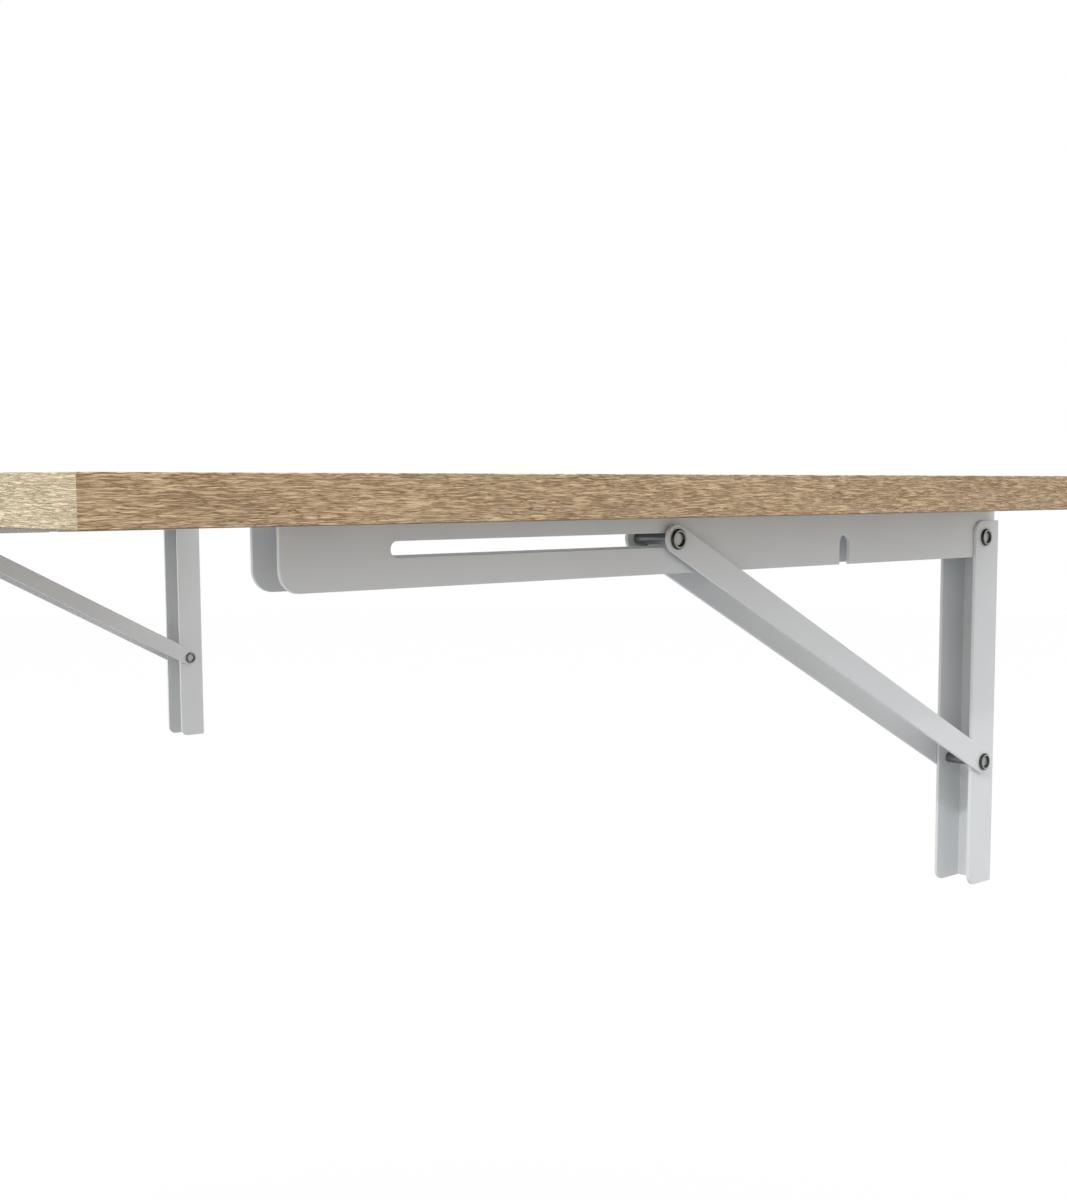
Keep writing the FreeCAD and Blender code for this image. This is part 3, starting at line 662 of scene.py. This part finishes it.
def turned_mesh(name, rings, segments, marks=()):
    """Close rings of (x, radius) about the X axis, where radius may depend on the angle, into one mesh.

    The first and last ring have radius 0. Each of marks names a number that every ring carries as its third
    and later values.
    """
    shape = bmesh.new()
    layers = [shape.verts.layers.float.new(mark) for mark in marks]
    circles = []
    for along, radius, *values in rings:
        circle = []
        for step in range(segments if radius else 1):
            angle = math.tau * step / segments
            reach = radius(angle) if callable(radius) else radius
            vertex = shape.verts.new((along, reach * math.cos(angle), reach * math.sin(angle)))
            for layer, value in zip(layers, values):
                vertex[layer] = value
            circle.append(vertex)
        circles.append(circle)
    for near, far in zip(circles, circles[1:]):
        for step in range(segments):
            following = (step + 1) % segments
            corners = [near[step % len(near)], near[following % len(near)], far[following % len(far)],
                       far[step % len(far)]]
            # At a pole, two of the corners are the same point, which dict.fromkeys keeps once.
            shape.faces.new(dict.fromkeys(corners))
    mesh = mesh_from(shape, name)
    smooth(mesh)
    return mesh


def arc(centre, radius, start, end, steps):
    """Give (x, radius) points round a circle, where angle 0 points outwards and 90 degrees along X."""
    angles = [math.radians(start + (end - start) * step / steps) for step in range(steps + 1)]
    return [(centre[0] + radius * math.sin(angle), centre[1] + radius * math.cos(angle)) for angle in angles]


def add_object(name, data):
    """Put a mesh, lamp or camera into the scene as an object at the origin."""
    made = bpy.data.objects.new(name, data)
    bpy.context.scene.collection.objects.link(made)
    return made


def evaluated_mesh(made):
    """Give the plain mesh that an object's modifiers make, and take the object away."""
    evaluated = made.evaluated_get(bpy.context.evaluated_depsgraph_get())
    mesh = bpy.data.meshes.new_from_object(evaluated)
    bpy.data.objects.remove(made)
    return mesh


def run_tree(tree, values):
    """Run a node tree with named values and give back the plain mesh that it makes."""
    carrier = add_object("carrier", bpy.data.meshes.new("carrier"))
    modifier = carrier.modifiers.new("rule", "NODES")
    modifier.node_group = tree
    for item in tree.interface.items_tree:
        if item.in_out == "INPUT":
            modifier[item.identifier] = values[item.name]
    mesh = evaluated_mesh(carrier)
    if not mesh.vertices:
        raise RuntimeError(f"{tree.name} made nothing")
    return mesh


def add_piece(name, mesh, node):
    """Let a finished mesh stand for a CAD node on that node's body."""
    piece = add_object(name, mesh)
    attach(piece, BODY_OF_NODE[node])
    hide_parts(node)


def new_tree(name, inputs):
    """Start a geometry node tree with named inputs, and give its graph and the inputs' sockets."""
    tree = bpy.data.node_groups.new(name, "GeometryNodeTree")
    for label, kind in inputs.items():
        tree.interface.new_socket(name=label, in_out="INPUT", socket_type=kind)
    tree.interface.new_socket(name="Geometry", in_out="OUTPUT", socket_type="NodeSocketGeometry")
    graph = Graph(tree)
    return graph, graph.node("NodeGroupInput").outputs


def close_tree(graph, geometry, material):
    """End a geometry node tree with real geometry and its finish."""
    real = graph.node("GeometryNodeRealizeInstances", sockets={"Geometry": geometry})
    dressed = graph.node("GeometryNodeSetMaterial", sockets={
        "Geometry": real.outputs["Geometry"], "Material": material})
    graph.node("NodeGroupOutput", sockets={"Geometry": dressed.outputs["Geometry"]})
    return graph.tree


# Rivets


# The lip's circle in degrees, from its foot on the seat over the crest to under its inner side.
LIP_START = -50
LIP_END = 262
LIP_STEPS = 39
HEAD_SEGMENTS = 64
SHANK_SEGMENTS = 32

# Shares of the lip's radius.
FOOT_SHARE = 0.45
BORE_WALL_SHARE = 1.02
GROOVE_SHARE = 0.05
FLOOR_BEVEL_SHARE = 0.10

# How narrow the crest's painted highlight is, and the share of the bore floor's painted light on its bevel.
HIGHLIGHT_SHARPNESS = 12
FLOOR_EDGE_LIGHT = 0.2


def rolled_head():
    """Make one rolled rivet end on the X axis: its seat at x = 0, its bore open towards +x."""
    settings = bpy.context.scene.wall_table_fasteners
    lip = settings.lip_radius
    lip_height = RIVET_HEAD_HEIGHT - lip
    lip_reach = RIVET_HEAD_RADIUS - lip
    floor_height = RIVET_HEAD_HEIGHT - settings.bore_depth
    wall = lip_reach - BORE_WALL_SHARE * lip
    bevel = FLOOR_BEVEL_SHARE * lip
    rings = [(0, 0, 0, 0), (0, lip_reach + FOOT_SHARE * lip, 0, 0)]
    for height, radius in arc((lip_height, lip_reach), lip, LIP_START, LIP_END, LIP_STEPS):
        # The crest carries the painted highlight.
        crest = max(0.0, (height - lip_height) / lip)
        rings.append((height, radius, crest ** HIGHLIGHT_SHARPNESS, 0))
    rings += [
        (lip_height - lip - GROOVE_SHARE * lip, wall, 0, 0),
        # The bore's floor and its bevel carry painted light.
        (floor_height + bevel, wall, 0, FLOOR_EDGE_LIGHT),
        (floor_height, wall - bevel, 0, 1),
        (floor_height, 0, 0, 1),
    ]
    return turned_mesh("rolled_head", rings, HEAD_SEGMENTS, ("rim_highlight", "bore_floor"))


def rivet_tree():
    """Build the tree that puts a shank between one or two rolled ends."""
    graph, given = new_tree("rivet", {
        "Head": "NodeSocketObject", "Heads": "NodeSocketInt", "Grip": "NodeSocketFloat",
        "Shank Radius": "NodeSocketFloat", "Finish": "NodeSocketMaterial"})
    grip = Field(graph, given["Grip"])
    near_end = graph.node("ShaderNodeCombineXYZ", sockets={"X": grip * 0.5})
    far_end = graph.node("ShaderNodeCombineXYZ", sockets={"X": grip * -0.5})
    back = graph.node("ShaderNodeCombineXYZ", sockets={"X": grip * -1})
    head = graph.node("GeometryNodeObjectInfo", sockets={"Object": given["Head"], "As Instance": True})
    seats = graph.node("GeometryNodeMeshLine", {"mode": "OFFSET"}, {
        "Count": given["Heads"], "Start Location": near_end.outputs["Vector"],
        "Offset": back.outputs["Vector"]})
    turn = Field(graph, graph.node("GeometryNodeInputIndex").outputs["Index"]) * math.pi
    turned = graph.node("ShaderNodeCombineXYZ", sockets={"Z": turn})
    heads = graph.node("GeometryNodeInstanceOnPoints", sockets={
        "Points": seats.outputs["Mesh"], "Instance": head.outputs["Geometry"],
        "Rotation": turned.outputs["Vector"]})
    line = graph.node("GeometryNodeCurvePrimitiveLine", sockets={
        "Start": far_end.outputs["Vector"], "End": near_end.outputs["Vector"]})
    circle = graph.node("GeometryNodeCurvePrimitiveCircle", sockets={
        "Resolution": SHANK_SEGMENTS, "Radius": given["Shank Radius"]})
    shank = graph.node("GeometryNodeCurveToMesh", sockets={
        "Curve": line.outputs["Curve"], "Profile Curve": circle.outputs["Curve"], "Fill Caps": True})
    joined = graph.node("GeometryNodeJoinGeometry", sockets={"Geometry": heads.outputs["Instances"]})
    graph.feed(joined.inputs["Geometry"], shank.outputs["Mesh"])
    return close_tree(graph, joined.outputs["Geometry"], given["Finish"])


def make_rivet(name, node, tree, head, heads, material, half_turn=False):
    """Put a rivet, or one riveted end, where its CAD node is."""
    grip = box_size(node).x - heads * RIVET_HEAD_HEIGHT
    mesh = run_tree(tree, {
        "Head": head, "Heads": heads, "Grip": grip, "Shank Radius": SHANK_RADIUS, "Finish": material})
    # With one head, the middle of the grip lies half a head behind the middle of the node.
    shift = (heads - 2) * RIVET_HEAD_HEIGHT / 2
    turn = Matrix.Rotation(math.pi if half_turn else 0, 4, "Z")
    mesh.transform(Matrix.Translation(box_middle(node)) @ turn @ Matrix.Translation((shift, 0, 0)))
    add_piece(name, mesh, node)


# Screws


SCREW_SEGMENTS = 28
RINGS_PER_TURN = 10
DOME_STEPS = 8
NECK_LENGTH = 0.4 * MM
POINT_LENGTH = 0.2 * MM
POINT_RADIUS = 0.02 * MM

# Shares of the head's height or radius.
DOME_HEIGHT_SHARE = 0.62
DOME_TOP_SHARE = 0.55
RIM_HEIGHT_SHARE = 0.1
SEAT_SHARE = 0.97
SHANK_SHARE = 0.5
CUTTER_TOP_SHARE = 1.2
CROSS_SPAN_SHARE = 1.15
CROSS_WIDTH_SHARE = 0.28
CROSS_FLOOR_SHARE = 0.6  # of the cross's own span and width
CROSS_DEPTH = 1.3 * MM

# The tip begins at a share of the shank's length, and its thread thins out later than its core.
TIP_START_SHARE = 0.8
TIP_THREAD_GAIN = 1.6
RIDGE_HALF_WIDTH_SHARE = 0.28  # of the pitch
RIDGE_SHARPNESS = 1.5


class ScrewSize(NamedTuple):
    """The main sizes of a screw."""

    head_height: float
    head_radius: float
    length: float


def thread_radius(height, root, depth, pitch):
    """Give the thread's radius at a height as a function of the angle."""
    def radius(angle):
        phase = (height / pitch - angle / math.tau) % 1.0
        ridge = max(0.0, 1 - abs(phase - 0.5) / RIDGE_HALF_WIDTH_SHARE)
        return root + depth * ridge ** RIDGE_SHARPNESS

    return radius


def head_rings(size, shank_radius):
    """Give the domed head's rings, from the middle of its top to the shank at x = 0."""
    dome = size.head_height * DOME_HEIGHT_SHARE
    rings = [(-size.head_height, 0)]
    for step in range(1, DOME_STEPS + 1):
        angle = math.pi / 2 * step / DOME_STEPS
        reach = size.head_radius * (DOME_TOP_SHARE + (1 - DOME_TOP_SHARE) * math.sin(angle))
        rings.append((-size.head_height + dome * (1 - math.cos(angle)), reach))
    return rings + [
        (-RIM_HEIGHT_SHARE * size.head_height, size.head_radius),
        (0, size.head_radius * SEAT_SHARE),
        (0, shank_radius),
    ]


def thread_rings(size, shank_radius, settings):
    """Give the threaded shank's rings, from its neck to its tip."""
    pitch = settings.thread_pitch
    root = shank_radius - settings.thread_depth
    tip_length = size.length - size.length * TIP_START_SHARE
    steps = round((size.length - 2 * NECK_LENGTH) / pitch * RINGS_PER_TURN)
    rings = []
    for step in range(1, steps):
        height = NECK_LENGTH + (size.length - NECK_LENGTH - POINT_LENGTH) * step / steps
        taper = min(1.0, (size.length - height) / tip_length)
        runout = min(1.0, (height - NECK_LENGTH) / pitch)
        depth = settings.thread_depth * min(taper * TIP_THREAD_GAIN, 1.0) * runout
        rings.append((height, thread_radius(height, root * taper + POINT_RADIUS, depth, pitch)))
    return rings + [(size.length, 0)]


def screw_blank(size, settings):
    """Make the screw without its cross: head towards -x, seat at x = 0, tip at +x."""
    shank_radius = size.head_radius * SHANK_SHARE
    rings = head_rings(size, shank_radius) + thread_rings(size, shank_radius, settings)
    return turned_mesh("screw", rings, SCREW_SEGMENTS)


def cross_cutter(size):
    """Make the tapered cross that is sunk into a screw head."""
    half_span = CROSS_SPAN_SHARE * size.head_radius / 2
    half_width = CROSS_WIDTH_SHARE * size.head_radius / 2
    top = -size.head_height * CUTTER_TOP_SHARE
    floor = -size.head_height + CROSS_DEPTH
    shape = bmesh.new()
    for y, z in ((half_width, half_span), (half_span, half_width)):
        corners = [(-y, -z), (y, -z), (y, z), (-y, z)]
        outside = [shape.verts.new((top, across, along)) for across, along in corners]
        inside = [shape.verts.new((floor, across * CROSS_FLOOR_SHARE, along * CROSS_FLOOR_SHARE))
                  for across, along in corners]
        for step, corner in enumerate(outside):
            following = (step + 1) % len(outside)
            shape.faces.new((corner, outside[following], inside[following], inside[step]))
        shape.faces.new(outside)
        shape.faces.new(inside)
    return mesh_from(shape, "cross_cutter")


def make_screw():
    """Make one cross-head screw at the origin with its tip up, and give it with the height of its seat."""
    settings = bpy.context.scene.wall_table_fasteners
    low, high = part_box("left_arm_screws")
    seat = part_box("left_arm_channel")[1].z - SHEET_THICKNESS
    size = ScrewSize(head_height=seat - low.z, head_radius=(high.x - low.x) / 2, length=high.z - seat)
    blank = add_object("screw_blank", screw_blank(size, settings))
    cutter = add_object("cross_cutter", cross_cutter(size))
    cut = blank.modifiers.new("cross", "BOOLEAN")
    cut.operation = "DIFFERENCE"
    cut.solver = "EXACT"
    cut.use_self = True
    cut.object = cutter
    mesh = evaluated_mesh(blank)
    bpy.data.objects.remove(cutter)
    mesh.transform(Matrix.Rotation(-math.pi / 2, 4, "Y"))
    smooth(mesh)
    return add_object("screw_pattern", mesh), seat


def screw_row_tree():
    """Build the tree that repeats one screw along a line."""
    graph, given = new_tree("screw_row", {
        "Screw": "NodeSocketObject", "Count": "NodeSocketInt", "First Place": "NodeSocketVector",
        "Step": "NodeSocketVector", "Finish": "NodeSocketMaterial"})
    screw = graph.node("GeometryNodeObjectInfo", sockets={"Object": given["Screw"], "As Instance": True})
    places = graph.node("GeometryNodeMeshLine", {"mode": "OFFSET"}, {
        "Count": given["Count"], "Start Location": given["First Place"], "Offset": given["Step"]})
    placed = graph.node("GeometryNodeInstanceOnPoints", sockets={
        "Points": places.outputs["Mesh"], "Instance": screw.outputs["Geometry"]})
    return close_tree(graph, placed.outputs["Instances"], given["Finish"])


# Stage


# The camera, as fitted to the photograph: pixels, metres and angles.
PHOTO_SIZE = (1067, 1200)
PHOTO_MIDDLE = (591.1, 667.6)
PHOTO_FOCAL_LENGTH = 1733.2
CAMERA_PLACE = (0.9855, -0.8762, 0.1389)
CAMERA_TURN = math.radians(45.257)
CAMERA_TILT = math.radians(-6.082)
CAMERA_ROLL = math.radians(0.042)
CAMERA_NEAREST = 0.01
SENSOR_SIZE = 36

# The lights' places, and their widths and heights.
LIGHT_TARGET = (0, -0.3, 0.05)
HIGH_LIGHT_PLACE = (1.62, -2.41, 2.28)
HIGH_LIGHT_SIZE = (0.14, 0.14)
FRONT_LIGHT_PLACE = (0.3, -3.0, 0.4)
FRONT_LIGHT_SIZE = (2.0, 1.4)
LEFT_LIGHT_PLACE = (-2.2, -2.0, 0.6)
LEFT_LIGHT_SIZE = (1.6, 1.6)

FLOOR_RADIUS = 9
FLOOR_SEGMENTS = 96
FLOOR_WHITENESS = 0.75
WHITE = (1, 1, 1, 1)


def set_camera():
    """Look at the table as the photograph does: turned left of the wall's normal and slightly down."""
    data = bpy.data.cameras.new("camera")
    data.sensor_width = SENSOR_SIZE
    data.lens = PHOTO_FOCAL_LENGTH / PHOTO_SIZE[1] * SENSOR_SIZE
    data.shift_x = -(PHOTO_MIDDLE[0] - PHOTO_SIZE[0] / 2) / PHOTO_SIZE[1]
    data.shift_y = (PHOTO_MIDDLE[1] - PHOTO_SIZE[1] / 2) / PHOTO_SIZE[1]
    data.clip_start = CAMERA_NEAREST
    camera = add_object("camera", data)
    camera.location = CAMERA_PLACE
    camera.rotation_euler = (math.pi / 2 + CAMERA_TILT, CAMERA_ROLL, CAMERA_TURN)
    bpy.context.scene.camera = camera


def softbox(name, place, size, power):
    """Hang a soft light that points at the table."""
    data = bpy.data.lights.new(name, "AREA")
    data.shape = "RECTANGLE"
    data.size, data.size_y = size
    data.energy = power
    lamp = add_object(name, data)
    lamp.location = place
    lamp.rotation_euler = (Vector(LIGHT_TARGET) - Vector(place)).to_track_quat("-Z", "Y").to_euler()
    lamp.visible_camera = False


def seen_directly(graph):
    """Give 1 where a ray comes from the camera, a reflection or through glass, and 0 elsewhere."""
    path = graph.node("ShaderNodeLightPath").outputs
    camera, glossy, through = (
        Field(graph, path[kind]) for kind in ("Is Camera Ray", "Is Glossy Ray", "Is Transmission Ray"))
    return graph.math("MINIMUM", camera + glossy + through, 1.0)


def set_world(strength):
    """Light the scene evenly, in front of a white background."""
    world = bpy.data.worlds.new("pale_studio")
    world.use_nodes = True
    world.node_tree.nodes.clear()
    graph = Graph(world.node_tree)
    light = graph.node("ShaderNodeBackground", sockets={"Color": WHITE, "Strength": strength})
    white = graph.node("ShaderNodeBackground", sockets={"Color": WHITE, "Strength": 1.0})
    shown = graph.blend_shaders(seen_directly(graph), light, white)
    graph.node("ShaderNodeOutputWorld", sockets={"Surface": shown.outputs[0]})
    bpy.context.scene.world = world


def floor_paint(settings):
    """Make the floor's finish: nearly white, with a soft shadow, and clear from below."""
    material = bpy.data.materials.new("pale_floor")
    material.use_nodes = True
    material.node_tree.nodes.clear()
    graph = Graph(material.node_tree)
    direct = seen_directly(graph)
    shade = graph.blend(direct, settings.floor_bounce, settings.floor_colour)
    matt = graph.node("ShaderNodeBsdfDiffuse", sockets={"Color": shade})
    white = graph.node("ShaderNodeEmission", sockets={"Color": WHITE, "Strength": 1.0})
    shown = graph.blend_shaders(direct * FLOOR_WHITENESS, matt, white)
    clear = graph.node("ShaderNodeBsdfTransparent")
    underside = graph.node("ShaderNodeNewGeometry").outputs["Backfacing"]
    one_sided = graph.blend_shaders(underside, shown, clear)
    graph.node("ShaderNodeOutputMaterial", sockets={"Surface": one_sided.outputs[0]})
    return material


def make_floor(settings):
    """Lay a pale round floor below the table."""
    shape = bmesh.new()
    bmesh.ops.create_circle(shape, cap_ends=True, segments=FLOOR_SEGMENTS, radius=FLOOR_RADIUS)
    bmesh.ops.translate(shape, verts=shape.verts, vec=(0, 0, -settings.floor_depth))
    mesh = bpy.data.meshes.new("floor")
    shape.to_mesh(mesh)
    shape.free()
    mesh.materials.append(floor_paint(settings))
    add_object("floor", mesh)


# Operators


class WALLTABLE_OT_dress_tabletop(bpy.types.Operator):
    """Give the core board, laminates and edge bands their finishes"""

    bl_idname = "wall_table.dress_tabletop"
    bl_label = "Dress tabletop"

    def execute(self, context):
        settings = context.scene.wall_table_oak
        wood = (settings.light, settings.middle, settings.dark)
        front_tone_and_light = (settings.front_light, settings.front_middle, settings.front_dark)
        long, short = settings.laminate_fibre_length, settings.edging_fibre_length
        laminate = oak("oak_laminate", "X", long, wood, LAMINATE_RING_STRENGTH)
        side_edging = oak("oak_side_edging", "Y", short, wood, EDGING_RING_STRENGTH, edged=True)
        # The front and rear bands take the paler front wood, which is partly painted light; their ends keep
        # the side's wood.
        front_edging = oak(
            "oak_front_edging", "X", short, front_tone_and_light, EDGING_RING_STRENGTH, edged=True, end_wood=wood)
        for node in ("tabletop_top_laminate", "tabletop_bottom_laminate"):
            dress(node, laminate)
        for node in ("left_edge_band", "right_edge_band"):
            dress(node, side_edging)
        for node in ("front_edge_band", "rear_edge_band"):
            dress(node, front_edging)
        dress("tabletop_core_board", chipboard())
        return {"FINISHED"}


class WALLTABLE_OT_dress_brackets(bpy.types.Operator):
    """Give the wall channels, arms, struts, sleeves and slider pins their finishes"""

    bl_idname = "wall_table.dress_brackets"
    bl_label = "Dress brackets"

    def execute(self, context):
        coat = powder_coat()
        turned = turned_steel()
        for side in SIDES:
            for part in ("wall_channel", "arm_channel", "strut_bar_left", "strut_bar_right"):
                dress(f"{side}_{part}", coat)
            for part in ("arm_pivot_sleeve", "strut_pivot_sleeve", "slider_sleeve", "slider_pin"):
                dress(f"{side}_{part}", turned)
        return {"FINISHED"}


class WALLTABLE_OT_make_rivets(bpy.types.Operator):
    """Make the rivets of both brackets with their rolled ends"""

    bl_idname = "wall_table.make_rivets"
    bl_label = "Make rivets"

    def execute(self, context):
        head = add_object("rolled_head", rolled_head())
        tree = rivet_tree()
        steel = rivet_steel()
        for side in SIDES:
            for part in ("arm_pivot_rivet", "strut_pivot_rivet"):
                make_rivet(f"{side}_rolled_{part}", f"{side}_{part}", tree, head, 2, steel)
            for end in ("left", "right"):
                node = f"{side}_slider_pin_{end}_end"
                make_rivet(f"{side}_slider_pin_rolled_{end}_end", node, tree, head, 1, steel, end == "left")
        bpy.data.objects.remove(head)
        return {"FINISHED"}


class WALLTABLE_OT_make_arm_screws(bpy.types.Operator):
    """Make the rows of screws that hold the arms to the tabletop"""

    bl_idname = "wall_table.make_arm_screws"
    bl_label = "Make arm screws"

    def execute(self, context):
        settings = context.scene.wall_table_fasteners
        screw, seat = make_screw()
        tree = screw_row_tree()
        zinc = zinc_plate()
        for side in SIDES:
            node = f"{side}_arm_screws"
            low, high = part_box(node)
            radius = (high.x - low.x) / 2
            first = Vector(((low.x + high.x) / 2, high.y - radius, seat))
            run = (low.y + radius) - first.y
            mesh = run_tree(tree, {
                "Screw": screw, "Count": settings.screw_count, "First Place": first,
                "Step": (0, run / (settings.screw_count - 1), 0), "Finish": zinc})
            add_piece(f"{side}_threaded_arm_screws", mesh, node)
        bpy.data.objects.remove(screw)
        return {"FINISHED"}


class WALLTABLE_OT_set_stage(bpy.types.Operator):
    """Lay the floor, hang the lights and place the camera"""

    bl_idname = "wall_table.set_stage"
    bl_label = "Set stage"

    def execute(self, context):
        settings = context.scene.wall_table_stage
        make_floor(settings)
        set_world(settings.sky_strength)
        softbox("high_light", HIGH_LIGHT_PLACE, HIGH_LIGHT_SIZE, settings.high_power)
        softbox("front_light", FRONT_LIGHT_PLACE, FRONT_LIGHT_SIZE, settings.front_power)
        softbox("left_light", LEFT_LIGHT_PLACE, LEFT_LIGHT_SIZE, settings.left_power)
        set_camera()
        context.scene.view_settings.view_transform = "Standard"
        return {"FINISHED"}


OPERATORS = (
    WALLTABLE_OT_dress_tabletop,
    WALLTABLE_OT_dress_brackets,
    WALLTABLE_OT_make_rivets,
    WALLTABLE_OT_make_arm_screws,
    WALLTABLE_OT_set_stage,
)

SETTINGS = {
    "wall_table_oak": OakSettings,
    "wall_table_coat": CoatSettings,
    "wall_table_fasteners": FastenerSettings,
    "wall_table_stage": StageSettings,
}


class WALLTABLE_PT_panel(bpy.types.Panel):
    """Sizes, colours and steps of the wall table"""

    bl_idname = "WALLTABLE_PT_panel"
    bl_label = "Wall Table"
    bl_space_type = "VIEW_3D"
    bl_region_type = "UI"
    bl_category = "Wall Table"

    def draw(self, context):
        for attribute, group in SETTINGS.items():
            box = self.layout.box()
            box.label(text=group.__doc__)
            for name in group.__annotations__:
                box.prop(getattr(context.scene, attribute), name)
        for operator in OPERATORS:
            self.layout.operator(operator.bl_idname)


def register():
    """Register the settings, operators and panel."""
    for attribute, group in SETTINGS.items():
        bpy.utils.register_class(group)
        setattr(bpy.types.Scene, attribute, PointerProperty(type=group))
    for operator in OPERATORS:
        bpy.utils.register_class(operator)
    bpy.utils.register_class(WALLTABLE_PT_panel)


def unregister():
    """Take the settings, operators and panel out again."""
    bpy.utils.unregister_class(WALLTABLE_PT_panel)
    for operator in reversed(OPERATORS):
        bpy.utils.unregister_class(operator)
    for attribute, group in SETTINGS.items():
        delattr(bpy.types.Scene, attribute)
        bpy.utils.unregister_class(group)


def main():
    """Register the add-on and build everything in order."""
    register()
    bpy.ops.wall_table.dress_tabletop()
    bpy.ops.wall_table.dress_brackets()
    bpy.ops.wall_table.make_rivets()
    bpy.ops.wall_table.make_arm_screws()
    bpy.ops.wall_table.set_stage()


if __name__ == "__main__":
    main()
